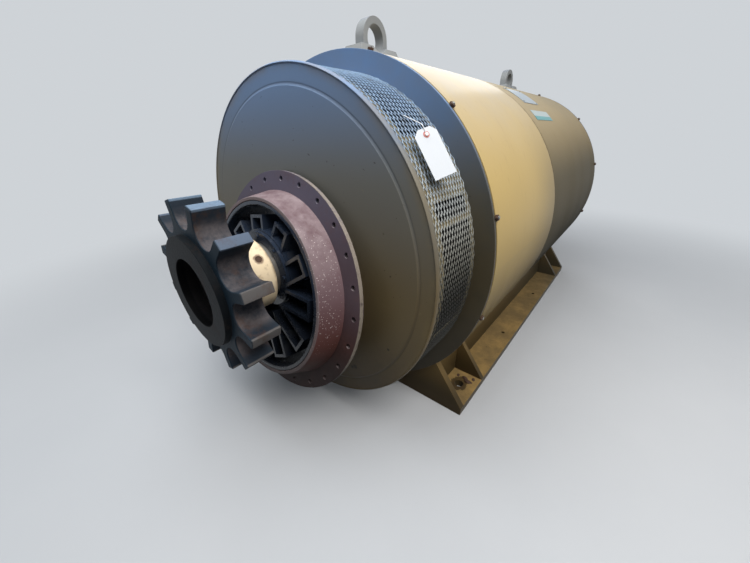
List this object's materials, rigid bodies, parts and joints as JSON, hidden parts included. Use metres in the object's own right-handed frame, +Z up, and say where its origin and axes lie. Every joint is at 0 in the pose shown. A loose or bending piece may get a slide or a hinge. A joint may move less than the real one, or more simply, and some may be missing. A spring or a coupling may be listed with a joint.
{
  "type": "industrial generator",
  "caption": "Heavy round-barrelled generator on two long feet, with a screened air drum, an adapter ring and a toothed coupling hub at the drive end.",
  "frame": {"origin": "on the floor, at the centre of the rectangle of the four foot bolts", "axes": "+Y along the shaft, away from the drive end; +X towards the side with the rating plate; +Z up"},
  "size_m": [1.1, 2.435, 1.227],
  "materials": {
    "barrel_paint": "glossy tan-yellow enamel",
    "end_paint": "the same enamel, dulled",
    "frame_paint": "enamel",
    "foot_paint": "enamel",
    "screen_metal": "painted expanded metal",
    "ring_primer": "dusty red-brown primer",
    "bracket_black": "glossy black enamel",
    "shaft_steel": "machined steel",
    "hub_steel": "worn dark blue-grey steel with bare edges",
    "collar_paint": "cream-yellow enamel",
    "plate_metal": "blank plate",
    "label_paper": "two-tone blank label",
    "tag_card": "blank card",
    "eyelet_board": "reddish board ring",
    "string_cotton": "cotton string"
  },
  "bodies": {
    "frame": {"adapter_flange": "ring_primer", "adapter_ring": "ring_primer", "barrel_front": "barrel_paint", "barrel_rear": "barrel_paint", "bearing_bracket": "bracket_black", "bearing_cap": "bracket_black", "card_tag": "tag_card", "front_cover_screws": "barrel_paint", "front_drum_cover": "end_paint", "front_drum_frame": "frame_paint", "front_drum_screen": "screen_metal", "front_end_plate": "end_paint", "front_lifting_eye": "foot_paint", "front_saddle_plate": "foot_paint", "left_foot_gussets": "foot_paint", "left_foot_plate": "foot_paint", "left_foot_web": "foot_paint", "rating_plate": "plate_metal", "rear_bearing_cap": "end_paint", "rear_cover_screws": "barrel_paint", "rear_drum_cover": "end_paint", "rear_drum_frame": "frame_paint", "rear_drum_screen": "screen_metal", "rear_end_plate": "end_paint", "rear_lifting_eye": "foot_paint", "rear_saddle_plate": "foot_paint", "right_foot_gussets": "foot_paint", "right_foot_plate": "foot_paint", "right_foot_web": "foot_paint", "side_label": "label_paper", "tag_eyelet": "eyelet_board", "tag_string": "string_cotton"},
    "rotor": {"coupling_collar": "collar_paint", "coupling_hub": "hub_steel", "shaft": "shaft_steel"}
  },
  "joints": [
    {"name": "shaft_spin", "type": "hinge", "parent": "frame", "child": "rotor", "pos_m": [0, -1.2, 0.55], "axis": [0, 1, 0], "continuous": true}
  ]
}
